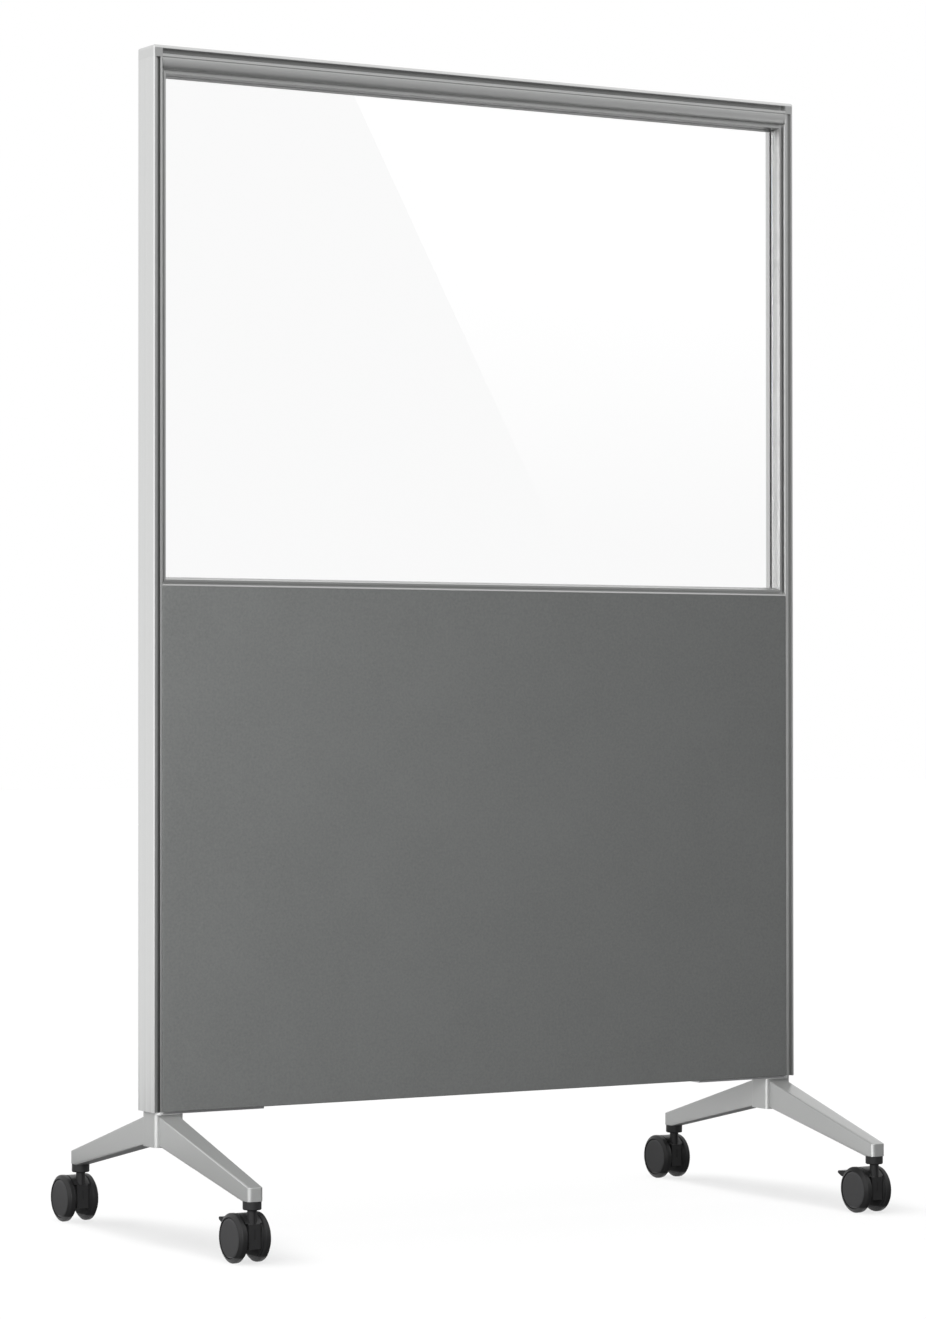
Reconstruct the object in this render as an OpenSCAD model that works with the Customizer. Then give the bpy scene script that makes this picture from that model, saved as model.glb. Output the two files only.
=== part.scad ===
// Rolling partition: a free-standing office screen on two cast feet with four twin-wheel casters.
// The upper half holds a clear pane, the lower half a fabric tile on each face.
// Millimetres, +Z up, the visible front towards -Y. The origin is on the floor, midway between
// the floor contacts of the four casters, which all trail towards +Y.

/* [Overall] */
// Height of the whole screen above the floor
overall_h = 1829; // [1500:1:2100]
// Width across the two posts
overall_w = 1200; // [900:1:1500]
// Depth of the screen, face to face
frame_t = 54; // [52:0.5:60]
// Clear height under the screen
under_h = 201; // [195:1:230]
// Height of the fabric tiles
tile_h = 802; // [500:1:1000]

/* [Posts and jambs] */
// Width of a post seen from the front
post_w = 12.4; // [11.5:0.1:15]
// Width of the post's nose beside the shadow slot
nose_w = 4.5; // [4:0.1:6]
// Depth of the shadow slot in each face of a post
slot_d = 6; // [4:0.5:12]
// Wall of the post extrusion
post_wall = 2; // [1.5:0.1:2.4]
// Radius of the posts' long outer edges
post_r = 3; // [1:0.1:3.5]
// Depth of the shallow flutes down a post's outer face
flute_d = 0.5; // [0.3:0.05:0.8]
// Width of a jamb strip
jamb_w = 3.2; // [2.4:0.1:6]
// How far the jamb lies behind the front face
jamb_set = 0.8; // [0.4:0.1:2]
// Radius of the jamb's long edges
jamb_r = 0.8; // [0.5:0.1:1.1]

/* [Top rail and cap] */
// Thickness of the top cap
cap_t = 5.4; // [4:0.1:8]
// Radius of the cap's upper edges
cap_r = 4.8; // [1:0.1:5]
// Height of the recessed channel under the cap
channel_h = 7.7; // [6:0.1:12]
// Depth of the recessed channel
channel_d = 9; // [6:0.5:10]
// Height of the lip under the channel
lip_h = 5.3; // [4:0.1:8]
// Height of the fine line between the lip and the moulding
line_h = 0.8; // [0.5:0.1:1.5]
// Height of the convex moulding
moulding_h = 17; // [12:0.5:24]
// How far the moulding falls back towards its lower edge
moulding_fall = 5.2; // [3:0.1:6]
// Wall of the top rail
rail_wall = 2.5; // [2:0.1:4]
// Height from the top of the screen to the foot of a corner block
block_drop = 18.4; // [16:0.1:34]
// Length of a corner block's tongues
tongue_l = 40; // [20:1:60]

/* [Glazing] */
// Width of the sloping reveal beside the glass
reveal_w = 4.3; // [3:0.1:6]
// Width of the flat band on a glazing bar
band_w = 3.2; // [2:0.1:5]
// Width of the groove in a glazing bar
groove_w = 3.1; // [2:0.1:5]
// Width of the rounded bead at the jambs
jamb_bead_w = 1.8; // [1.4:0.1:4]
// Width of the rounded bead at the sill
sill_bead_w = 3.4; // [2:0.1:6]
// How far the band lies behind the front face
band_set = 6; // [4:0.1:8]
// Depth of the groove behind the band
groove_d = 4; // [2:0.1:6]
// How far the bead falls back beside the groove
bead_fall = 4.5; // [3:0.1:5]
// Thickness of the glass
glass_t = 6; // [4:0.1:8]
// Thickness of the rubber gasket on each side of the glass
gasket_t = 1.5; // [1:0.1:3.5]
// How far the glass reaches into the bars
glass_bite = 7; // [5:0.1:7.5]
// Free space beyond the edge of the glass
glass_play = 1; // [0.5:0.1:2]

/* [Tiles and core] */
// Thickness of a fabric tile
tile_t = 12; // [10:0.5:13]
// Radius of a tile's edges
tile_r = 0.8; // [0.5:0.1:3]
// Depth of the inner rails and of the core board
core_t = 26; // [22:0.5:27]
// Height of the rail behind the sill
mid_rail_h = 35; // [25:1:60]
// Height of the rail at the bottom
bottom_rail_h = 40; // [30:1:60]
// Wall of the inner rails
inner_wall = 2; // [1.5:0.1:3]
// Width of a tile clip
clip_w = 30; // [20:1:40]
// Height of a tile clip
clip_h = 24; // [18:1:25]
// Number of tile clips along each rail and face
clip_count = 4; // [2:1:6]
// Thickness of a clip's hook
hook_t = 2; // [1.5:0.1:3]
// Depth of a clip's hook in the tile
hook_d = 5; // [3:0.5:8]

/* [Feet] */
// Length of a foot from toe to toe
foot_l = 598; // [500:1:700]
// Distance from the outer face of the post to the middle of the foot
foot_inset = 30; // [26:0.5:45]
// Width of the foot's hub
hub_w = 49; // [44:0.5:50]
// Depth of the foot's hub
hub_t = 45; // [40:0.5:50]
// Radius of the hub's upright edges
hub_r = 6; // [3:0.5:10]
// Height of the hub under its pad
hub_h = 49.8; // [48:0.1:60]
// Height of the pad on top of the hub
pad_h = 4.2; // [4:0.1:10]
// Radius of the pad's upright edges
pad_r = 12; // [6:0.5:18]
// Width of a leg where it leaves the hub
leg_w = 34.4; // [28:0.2:38]
// Height of a leg where it leaves the hub
leg_h = 44.1; // [36:0.1:46]
// Gap between the pad and the top of a leg at the hub
leg_gap = 3.4; // [1:0.1:5]
// Radius of a leg's long edges
leg_r = 1.4; // [1:0.1:4]
// Width of a toe
toe_w = 25; // [22:0.5:30]
// Length of the flat underside of a toe
toe_l = 27; // [24:0.5:36]
// Height of a toe's end face
toe_h = 20.6; // [18:0.1:28]
// Radius of a toe's upright edges
toe_r = 6; // [3:0.5:9]
// Distance from the toe's end to the caster's stem
stem_inset = 13; // [12:0.5:16]
// Distance from the middle of the foot to the end of its mounting plate
plate_reach = 162; // [120:1:200]
// Thickness of the mounting plate
plate_t = 3; // [2:0.1:5]
// Depth of the mounting plate
plate_d = 50; // [40:1:52]

/* [Casters] */
// Diameter of a caster wheel
wheel_d = 74; // [68:1:76]
// Width over the two wheels of a caster
caster_w = 53.6; // [50:0.2:60]
// Distance that the wheels trail behind the stem
trail = 22; // [18:0.5:26]
// Width of the caster body between the wheels
body_w = 20; // [16:0.5:22]
// Gap between the body and a wheel
wheel_gap = 1; // [0.5:0.1:2]
// Width over the fenders on top of the body
fender_w = 27.2; // [22:0.2:28]
// Diameter of the stem
stem_d = 10; // [8:0.5:11]
// Diameter of the caster's neck
neck_d = 14.6; // [13:0.2:18]
// Diameter of the collar under the toe
collar_d = 28; // [24:0.5:32]
// Height of the collar under the toe
collar_h = 12.7; // [8:0.1:14]
// Diameter of the axle
axle_d = 6; // [5:0.5:8]
// Diameter of a hub cap
hub_cap_d = 59; // [50:0.5:60]
// Thickness of a hub cap
hub_cap_t = 1.6; // [1:0.1:2]
// Distance from the stem to the tip of the brake lever
lever_reach = 82; // [74:1:90]
// Width of the brake lever's pedal
pedal_w = 24; // [16:0.5:26]
// Diameter of the brake lever's trunnions
trunnion_d = 5; // [4:0.1:6]

/* [Fits] */
// Running clearance round a turning shaft
run_c = 0.05; // [0.03:0.01:0.08]
// Clearance round a screw, a sleeve or a tongue
seat_c = 0.15; // [0.1:0.01:0.3]

/* [Hidden] */

$fn = 48;
silver = "silver";
dark_steel = "dimgray";
charcoal = [0.36, 0.37, 0.37];
black_plastic = [0.13, 0.13, 0.13];
cut = 1;

// Levels and planes of the screen
half_w = overall_w / 2;
half_t = frame_t / 2;
left = -1;
right = 1;
front = -1;
rear = 1;
cap_z = overall_h - cap_t;
channel_z = cap_z - channel_h;
lip_z = channel_z - lip_h;
moulding_z = lip_z - line_h;
rail_z = moulding_z - moulding_h;
block_w = post_w + jamb_w;
block_z = overall_h - block_drop;
tile_z = under_h + tile_h;
bar_w = reveal_w + band_w + groove_w;
glass_top = rail_z - bar_w;
glass_bottom = tile_z + sill_bead_w + bar_w;
jamb_x = half_w - post_w;
field_x = jamb_x - jamb_w;
glass_x = field_x - jamb_bead_w - bar_w;
band_v = half_t - band_set;
bead_v = half_t - jamb_set;
gasket_v = glass_t / 2 + gasket_t;
pocket_u = glass_bite + glass_play;
cavity_t = frame_t - 2 * slot_d - 2 * post_wall;
cavity_w = post_w - 2 * post_wall;
neck_t = frame_t - 2 * channel_d;

// Levels and places of the feet and casters
foot_x = half_w - foot_inset;
plate_z = under_h - plate_t;
pad_z = under_h - pad_h;
hub_z = pad_z - hub_h;
plate_outer = foot_x + hub_w / 2 - pad_r;
plate_inner = foot_x - plate_reach;
leg_top = pad_z - leg_gap;
leg_y = hub_t / 2 - leg_r;
toe_end = foot_l / 2;
stem_y = toe_end - stem_inset;
wheel_r = wheel_d / 2;
swivel_c = 0.5;
collar_z = wheel_d + 6;
toe_z = collar_z + collar_h;
sleeve_d = stem_d + 4;
sleeve_h = 12.5;
stem_top = toe_z + sleeve_h - 1.2;
stem_foot = wheel_d - 14;
neck_top = collar_z - swivel_c;
front_y = -neck_d / 2 - 0.9;
chin_z = 22.3;
brow_z = 59;
hood_r = wheel_r - 0.6;
fender_t = 2.4;
wheel_in = body_w / 2 + wheel_gap;
wheel_out = caster_w / 2;
pivot_y = trail + 16;
pivot_z = wheel_r + 17;
lever_w = body_w - 5.4;
fork_w = lever_w + 0.6;
bolt_d = 8;
bolt_head_d = 13;
bolt_head_h = 8;
bolt_sink = 12;
bolt_top = under_h + bottom_rail_h * 0.7;
screw_d = 4;
screw_head_d = 8;
screw_head_h = 3;
screw_l = 14;
key_l = 46;

// ---------------------------------------------------------------- helpers

// Moves a piece from the screen's own middle plane to the floor origin between the casters
module placed() {
    translate([0, -trail, 0]) children();
}

// Draws its child on the left as it stands, or mirrored to the right
module side(s) {
    mirror([s == right ? 1 : 0, 0, 0]) children();
}

// Draws its child towards the front as it stands, or mirrored to the rear
module face(s) {
    mirror([0, s == rear ? 1 : 0, 0]) children();
}

// Extrudes a (Y, Z) outline along X, centred
module along_x(length) {
    rotate([90, 0, 90]) linear_extrude(length, center = true) children();
}

// Extrudes an (X, Z) outline along Y, centred
module along_y(length) {
    rotate([90, 0, 0]) linear_extrude(length, center = true) children();
}

// Rectangle with round corners, made of squares and circles
module round_rect(w, h, r) {
    square([w - 2 * r, h], center = true);
    square([w, h - 2 * r], center = true);
    for (x = [-1, 1], y = [-1, 1])
        translate([x * (w / 2 - r), y * (h / 2 - r)]) circle(r);
}

// Points of an arc from one angle to another
function arc(cx, cy, rx, ry, a0, a1, n = 8) =
    [for (i = [0:n]) let (a = a0 + (a1 - a0) * i / n) [cx + rx * cos(a), cy + ry * sin(a)]];

// The points of a half outline and its mirror image about the first axis, as one closed outline
function both_sides(half) =
    concat(half, [for (i = [len(half) - 1:-1:0]) [half[i][0], -half[i][1]]]);

// ---------------------------------------------------------------- posts, jambs and corners

// Outline of a left post in plan: a nose on each face, a shadow slot beside it, a hollow web
module post_outline() {
    difference() {
        union() {
            translate([-half_w + post_r, -half_t]) square([post_w - post_r, frame_t]);
            translate([-half_w, -half_t + post_r]) square([post_w, frame_t - 2 * post_r]);
            for (s = [-1, 1])
                translate([-half_w + post_r, s * (half_t - post_r)]) circle(post_r);
        }
        for (s = [-1, 1])
            translate([-half_w + nose_w + post_w / 2, s * (half_t - slot_d / 2 + cut / 2)])
                square([post_w, slot_d + cut], center = true);
        translate([-half_w + post_w / 2, 0]) square([cavity_w, cavity_t], center = true);
        flutes();
    }
}

// Three shallow flutes down the outer face, each the edge of a large circle
module flutes() {
    pitch = frame_t * 0.34;
    chord = frame_t / 5.5;
    flute_r = (chord * chord / 4 + flute_d * flute_d) / (2 * flute_d);
    for (i = [-1:1])
        translate([-half_w - flute_r + flute_d, i * pitch]) circle(flute_r, $fn = 96);
}

module post(s) {
    color(silver) placed() side(s) difference() {
        translate([0, 0, under_h]) linear_extrude(block_z - under_h) post_outline();
        key_screw_holes();
    }
}

// The strip between a post and the tile or glazing bar, the full depth of the screen
module jamb(s) {
    depth = frame_t - 2 * jamb_set;
    color(silver) placed() side(s) difference() {
        translate([-jamb_x + jamb_w / 2, 0, under_h])
            linear_extrude(block_z - under_h) round_rect(jamb_w, depth, jamb_r);
        rail_tongue(seat_c);
        key_screw_holes();
    }
}

// The part of a corner block that fills the top rail's hollow
module rail_tongue(c) {
    translate([-jamb_x - c, -neck_t / 2 + rail_wall - c, rail_z + rail_wall - c])
        cube([jamb_w + tongue_l + 2 * c, neck_t - 2 * rail_wall + 2 * c,
              cap_z - rail_z - 2 * rail_wall + 2 * c]);
}

module corner_block(s) {
    color("gainsboro") placed() side(s) {
        translate([0, 0, block_z]) linear_extrude(cap_z - block_z) {
            translate([-half_w + post_r, -half_t]) square([block_w - post_r, frame_t]);
            translate([-half_w, -half_t + post_r]) square([block_w, frame_t - 2 * post_r]);
            for (f = [-1, 1])
                translate([-half_w + post_r, f * (half_t - post_r)]) circle(post_r);
        }
        rail_tongue(-seat_c);
        translate([-half_w + post_wall + seat_c, -cavity_t / 2 + seat_c, block_z - tongue_l])
            cube([cavity_w - 2 * seat_c, cavity_t - 2 * seat_c, tongue_l + cut]);
    }
}

// ---------------------------------------------------------------- top cap and rails

// Outline of the cap along one axis, with its upper edges rounded
module cap_outline(length) {
    translate([0, cap_z]) intersection() {
        union() {
            translate([-length / 2, 0]) square([length, cap_t - cap_r]);
            translate([-length / 2 + cap_r, 0]) square([length - 2 * cap_r, cap_t]);
            for (s = [-1, 1]) translate([s * (length / 2 - cap_r), cap_t - cap_r]) circle(cap_r);
        }
        translate([-length / 2, 0]) square([length, cap_t]);
    }
}

module top_cap() {
    color("whitesmoke") placed() intersection() {
        along_x(overall_w) cap_outline(frame_t);
        along_y(frame_t) cap_outline(overall_w);
        translate([0, 0, cap_z - cut]) linear_extrude(cap_t + 2 * cut)
            round_rect(overall_w, frame_t, post_r);
    }
}

// Outline of the top rail: neck behind the channel, lip, fine line, convex moulding
module top_rail_outline() {
    ease = 0.8;
    half = concat(
        [[cap_z, neck_t / 2], [channel_z, neck_t / 2], [channel_z, half_t - ease],
         [channel_z - ease, half_t], [lip_z + ease, half_t], [lip_z, half_t - ease],
         [lip_z, half_t - ease - line_h], [moulding_z, half_t - ease - line_h]],
        arc(moulding_z, half_t - 0.3 - moulding_fall, -moulding_h, moulding_fall, 90, 0, 12)
    );
    difference() {
        rotate(90) mirror([0, 1]) polygon(both_sides(half));
        translate([-neck_t / 2 + rail_wall, rail_z + rail_wall])
            square([neck_t - 2 * rail_wall, cap_z - rail_z - 2 * rail_wall]);
    }
}

module top_rail() {
    color(silver) placed() along_x(2 * field_x) top_rail_outline();
}

// A hollow inner rail between the jambs
module inner_rail(z, h) {
    color(dark_steel) placed() difference() {
        along_x(2 * field_x) translate([0, z + h / 2]) difference() {
            square([core_t, h], center = true);
            square([core_t - 2 * inner_wall, h - 2 * inner_wall], center = true);
        }
        foot_bolt_holes();
    }
}

// The solid block in each end of an inner rail that its post is screwed to
module corner_keys() {
    color(dark_steel) placed() for (s = [left, right], level = key_levels()) side(s)
        difference() {
            translate([-field_x, -core_t / 2 + inner_wall + seat_c, level[0] + inner_wall + seat_c])
                cube([key_l, core_t - 2 * inner_wall - 2 * seat_c,
                      level[1] - 2 * inner_wall - 2 * seat_c]);
            key_screw_holes();
            foot_bolt_holes();
        }
}

// Foot and height of each inner rail that holds a key
function key_levels() = [[under_h, bottom_rail_h], [tile_z - mid_rail_h, mid_rail_h]];

// Screws that run from the post's hollow through the jamb into the keys
module frame_screws() {
    color(dark_steel) placed() for (s = [left, right], level = key_levels()) side(s)
        translate([-half_w + post_w - post_wall, 0, level[0] + level[1] / 2]) rotate([0, 90, 0]) {
            cylinder(h = screw_l, d = screw_d);
            translate([0, 0, -screw_head_h]) cylinder(h = screw_head_h, d = screw_head_d);
        }
}

module key_screw_holes() {
    for (level = key_levels())
        translate([-half_w + post_w / 2, 0, level[0] + level[1] / 2]) rotate([0, 90, 0])
            cylinder(h = screw_l + post_w, d = screw_d + 2 * seat_c);
}

// ---------------------------------------------------------------- glazing

// Outline of a glazing bar. The first axis runs away from the glass, the second through the depth.
module bar_outline(bead_w) {
    step_u = reveal_w * 0.45;
    step_v = gasket_v + (band_v - gasket_v) * 0.36;
    step = 0.6;
    back_u = bar_w + bead_w;
    bead = bead_w > 0
        ? arc(bar_w + bead_w, bead_v - bead_fall, -bead_w, bead_fall, 0, 90, 6)
        : [[bar_w, band_v]];
    half = concat(
        [[pocket_u, 0], [pocket_u, gasket_v], [0, gasket_v], [0, gasket_v + step],
         [step_u - step, step_v], [step_u, step_v + step], [reveal_w, band_v],
         [reveal_w + band_w, band_v], [reveal_w + band_w, band_v - groove_d],
         [bar_w, band_v - groove_d]],
        bead, [[back_u, 0]]);
    difference() {
        polygon(both_sides(half));
        for (s = [-1, 1])
            translate([reveal_w + band_w / 2, s * (gasket_v + (band_v - groove_d - gasket_v) / 2)])
                square([band_w + 1, band_v - groove_d - gasket_v - 4], center = true);
    }
}

// A bar at the left side of the pane, mitred at the sill and under the top rail
module glazing_side(s) {
    reach = field_x - glass_x;
    color(silver) placed() side(s) intersection() {
        translate([-glass_x, 0, tile_z]) mirror([1, 0, 0])
            linear_extrude(rail_z - tile_z) bar_outline(jamb_bead_w);
        along_y(frame_t) polygon([
            [-field_x, glass_bottom - reach], [-glass_x, glass_bottom], [-glass_x, glass_top],
            [-glass_x - bar_w, rail_z], [-field_x, rail_z]]);
    }
}

module glazing_bottom() {
    reach = field_x - glass_x;
    color(silver) placed() intersection() {
        translate([0, 0, glass_bottom]) rotate([0, 90, 0])
            linear_extrude(2 * field_x, center = true) bar_outline(sill_bead_w);
        along_y(frame_t) polygon([
            [-field_x, tile_z], [field_x, tile_z], [field_x, glass_bottom - reach],
            [glass_x, glass_bottom], [-glass_x, glass_bottom], [-field_x, glass_bottom - reach]]);
    }
}

module glazing_top() {
    color(silver) placed() intersection() {
        translate([0, 0, glass_top]) rotate([0, -90, 0])
            linear_extrude(2 * field_x, center = true) bar_outline(0);
        along_y(frame_t) polygon([
            [-glass_x, glass_top], [glass_x, glass_top],
            [glass_x + bar_w, rail_z], [-glass_x - bar_w, rail_z]]);
    }
}

module glass_pane() {
    color([0.85, 0.92, 0.92, 0.4]) placed()
        translate([-glass_x - glass_bite, -glass_t / 2, glass_bottom - glass_bite])
            cube([2 * (glass_x + glass_bite), glass_t, glass_top - glass_bottom + 2 * glass_bite]);
}

// The rubber ring on one face of the glass
module gasket(s) {
    lap = glass_bite - glass_play;
    color(black_plastic) placed() face(s) translate([0, -gasket_v + gasket_t / 2, 0])
        along_y(gasket_t) difference() {
            translate([-glass_x - lap, glass_bottom - lap])
                square([2 * (glass_x + lap), glass_top - glass_bottom + 2 * lap]);
            translate([-glass_x, glass_bottom])
                square([2 * glass_x, glass_top - glass_bottom]);
        }
}

// ---------------------------------------------------------------- fabric tiles and core

// A fabric-wrapped board on one face, kerfed at the back for the clips
module fabric_tile(s) {
    color(charcoal) placed() face(s) difference() {
        translate([0, -half_t, under_h]) linear_extrude(tile_h) {
            translate([-field_x, tile_r]) square([2 * field_x, tile_t - tile_r]);
            translate([-field_x + tile_r, 0]) square([2 * (field_x - tile_r), tile_t]);
            for (x = [-1, 1]) translate([x * (field_x - tile_r), tile_r]) circle(tile_r);
        }
        clip_places() translate([0, -half_t + tile_t - hook_d / 2, hook_z()])
            cube([clip_w + 1, hook_d + 1, hook_t + 2 * seat_c], center = true);
    }
}

// Height of the hook's middle above the middle of its clip
function hook_z() = clip_h / 2 - hook_t / 2;

// Each place of a clip on one face: along the bottom rail and along the rail behind the sill
module clip_places() {
    pitch = 2 * field_x / clip_count;
    for (level = key_levels(), i = [0:clip_count - 1])
        translate([(i - (clip_count - 1) / 2) * pitch, 0, level[0] + level[1] / 2]) children();
}

// Angle clips on the rails that the tiles hang on
module tile_clips() {
    clip_t = half_t - tile_t - core_t / 2;
    color(dark_steel) placed() for (s = [front, rear]) face(s) clip_places() {
        translate([0, -core_t / 2 - clip_t / 2, 0]) cube([clip_w, clip_t, clip_h], center = true);
        translate([0, -half_t + tile_t - hook_d / 2 + clip_t / 2, hook_z()])
            cube([clip_w, hook_d + clip_t, hook_t], center = true);
    }
}

module core_board() {
    color("tan") placed()
        translate([-field_x, -core_t / 2, under_h + bottom_rail_h])
            cube([2 * field_x, core_t, tile_h - bottom_rail_h - mid_rail_h]);
}

// ---------------------------------------------------------------- feet

// A front leg: from a round-edged root inside the hub to the toe
module leg() {
    root_z = leg_top - leg_h / 2;
    hull() {
        translate([0, -leg_y, root_z]) along_y(1) round_rect(leg_w, leg_h, leg_r, $fn = 24);
        translate([0, -toe_end + toe_l / 2, toe_z])
            linear_extrude(toe_h - leg_r / 2) round_rect(toe_w, toe_l, toe_r, $fn = 32);
        translate([0, -toe_end + toe_l / 2, toe_z])
            linear_extrude(toe_h)
                round_rect(toe_w - leg_r, toe_l - leg_r, toe_r - leg_r / 2, $fn = 32);
    }
}

// One casting: hub, pad and two legs, bored for the bolt and for the caster sockets
module foot(s) {
    color(silver) placed() side(s) translate([-foot_x, 0, 0]) difference() {
        union() {
            translate([0, 0, hub_z]) linear_extrude(pad_z - hub_z) round_rect(hub_w, hub_t, hub_r);
            translate([0, 0, pad_z]) linear_extrude(pad_h) round_rect(hub_w, frame_t, pad_r);
            for (f = [front, rear]) face(f) leg();
        }
        translate([foot_x - plate_outer, -frame_t, plate_z])
            mirror([1, 0, 0]) translate([-hub_w, 0, 0]) cube([hub_w, 2 * frame_t, plate_t + cut]);
        translate([0, 0, hub_z - cut]) cylinder(h = under_h, d = bolt_d + 2 * seat_c);
        translate([0, 0, hub_z - cut]) cylinder(h = bolt_sink + cut, d = bolt_head_d + 2);
        for (f = [-1, 1]) translate([0, f * stem_y, toe_z - cut])
            cylinder(h = sleeve_h + cut + 0.5, d = sleeve_d + 2 * seat_c);
    }
}

// Steel plates let into the pads and screwed along the bottom rail
module foot_plates() {
    color(dark_steel) placed() for (s = [left, right]) side(s) difference() {
        translate([-plate_outer, -plate_d / 2, plate_z])
            cube([plate_outer - plate_inner, plate_d, plate_t]);
        foot_bolt_holes();
    }
}

// Distances along X from the foot's bolt to the two plate screws
function plate_screws() = [plate_reach * 0.5, plate_reach * 0.88];

module foot_bolt_holes() {
    for (s = [left, right]) side(s) {
        translate([-foot_x, 0, hub_z])
            cylinder(h = bolt_top + cut - hub_z, d = bolt_d + 2 * seat_c);
        for (x = plate_screws())
            translate([-foot_x + x, 0, plate_z - cut])
                cylinder(h = plate_t + inner_wall + 2 * cut, d = screw_d + 2 * seat_c);
    }
}

// The long bolt through each hub and the two screws of each plate
module foot_bolts() {
    head_z = hub_z + bolt_sink - bolt_head_h;
    color(dark_steel) placed() for (s = [left, right]) side(s) {
        translate([-foot_x, 0, head_z]) difference() {
            union() {
                cylinder(h = bolt_head_h, d = bolt_head_d);
                cylinder(h = bolt_top - head_z, d = bolt_d);
            }
            translate([0, 0, -cut]) cylinder(h = bolt_head_h / 2 + cut, d = bolt_d * 0.8, $fn = 6);
        }
        for (x = plate_screws()) translate([-foot_x + x, 0, plate_z]) {
            translate([0, 0, -1.6]) cylinder(h = 1.6, d = screw_head_d);
            cylinder(h = plate_t + inner_wall + 3, d = screw_d);
        }
    }
}

// ---------------------------------------------------------------- casters

// Moves its child to one caster's stem axis
module at_caster(sx, sy) {
    placed() translate([sx * foot_x, sy * stem_y, 0]) children();
}

// The black collar under each toe, with a sleeve up into the toe
module caster_sockets() {
    bore_r = stem_d / 2 + run_c;
    ease = 1.2;
    color(black_plastic) for (sx = [left, right], sy = [front, rear]) at_caster(sx, sy)
        rotate_extrude() polygon([
            [bore_r, collar_z], [collar_d / 2 - ease, collar_z], [collar_d / 2, collar_z + ease],
            [collar_d / 2, toe_z], [sleeve_d / 2, toe_z], [sleeve_d / 2, toe_z + sleeve_h],
            [bore_r, toe_z + sleeve_h]]);
}

module caster_stem(sx, sy) {
    color("lightgray") at_caster(sx, sy) {
        translate([0, 0, stem_foot]) cylinder(h = stem_top - stem_foot - 1, d = stem_d);
        translate([0, 0, stem_top - 1]) cylinder(h = 1, d1 = stem_d, d2 = stem_d - 2);
    }
}

// Side outline of the body: the hood's circle cut off at the chin, with a flat front
module body_outline() {
    intersection() {
        union() {
            translate([trail, wheel_r]) circle(hood_r, $fn = 96);
            translate([front_y, chin_z]) square([trail - front_y, brow_z - chin_z]);
        }
        translate([front_y, chin_z]) square([2 * wheel_d, 2 * wheel_d]);
    }
}

// Side outline of the fenders: an arched band over the top of the wheels
module fender_outline() {
    tall = 2 * wheel_r;
    intersection() {
        translate([trail, wheel_r]) difference() {
            circle(hood_r, $fn = 96);
            circle(hood_r - fender_t, $fn = 96);
        }
        translate([trail, wheel_r]) polygon([
            [0, 0], [-tall * 1.2, tall], [0, 2 * tall], [tall, tall], [tall, tall * 0.62]]);
    }
}

module caster_body(sx, sy, braked) {
    color(black_plastic) at_caster(sx, sy) difference() {
        union() {
            along_x(body_w) body_outline();
            along_x(fender_w) fender_outline();
            translate([0, 0, brow_z - 8]) cylinder(h = neck_top - brow_z + 8, d = neck_d);
        }
        translate([0, 0, stem_foot]) cylinder(h = neck_top, d = stem_d + 2 * run_c);
        translate([0, trail, wheel_r]) rotate([0, 90, 0])
            cylinder(h = 2 * body_w, d = axle_d + 2 * run_c, center = true);
        translate([-1, front_y - cut, chin_z + 14])
            cube([2, cut + 0.7, brow_z - chin_z - 22]);
        translate([-1, -neck_d / 2 - cut, brow_z]) cube([2, cut + 1, neck_top - brow_z - 2]);
        if (braked) brake_fork();
    }
}

// The open fork in the back of a braked body, and the bores for the lever's trunnions
module brake_fork() {
    translate([-fork_w / 2, pivot_y - 9, pivot_z - 11]) cube([fork_w, wheel_d, wheel_d]);
    translate([0, pivot_y, pivot_z]) rotate([0, 90, 0])
        cylinder(h = 2 * body_w, d = trunnion_d + 2 * run_c, center = true);
}

// Side outline of the lever's arm inside the fork
module lever_arm_outline() {
    intersection() {
        translate([pivot_y - 8, pivot_z - 6]) square([lever_reach, wheel_d]);
        union() {
            translate([pivot_y, pivot_z]) circle(6);
            intersection() {
                translate([trail, wheel_r]) circle(hood_r - 0.3, $fn = 96);
                translate([pivot_y - 6, pivot_z]) square([20, wheel_d]);
            }
            translate([pivot_y, pivot_z - 2]) square([trail + wheel_r + 5 - pivot_y, 11]);
        }
    }
}

// Side outline of the pedal beyond the wheels
module pedal_outline() {
    heel = trail + wheel_r + 4;
    polygon([
        [heel, pivot_z - 2], [heel, pivot_z + 9.4], [lever_reach - 2, pivot_z + 8.3],
        [lever_reach, pivot_z + 6.5], [lever_reach - 1, pivot_z + 4], [lever_reach - 9, pivot_z]]);
}

module brake_lever(sx, sy) {
    color(black_plastic) at_caster(sx, sy) {
        along_x(lever_w) lever_arm_outline();
        along_x(pedal_w) pedal_outline();
        translate([0, pivot_y, pivot_z]) rotate([0, 90, 0])
            cylinder(h = body_w, d = trunnion_d, center = true);
    }
}

module caster_axle(sx, sy) {
    color("lightgray") at_caster(sx, sy) translate([0, trail, wheel_r]) rotate([0, 90, 0])
        cylinder(h = 2 * (wheel_out - hub_cap_t - 1.5), d = axle_d, center = true);
}

// Turns a profile of radius and distance along the axle into a wheel piece on one side
module on_axle(sx, sy, facing) {
    at_caster(sx, sy) translate([0, trail, wheel_r]) mirror([facing == right ? 0 : 1, 0, 0])
        rotate([0, 90, 0]) rotate_extrude($fn = 96) children();
}

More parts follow.
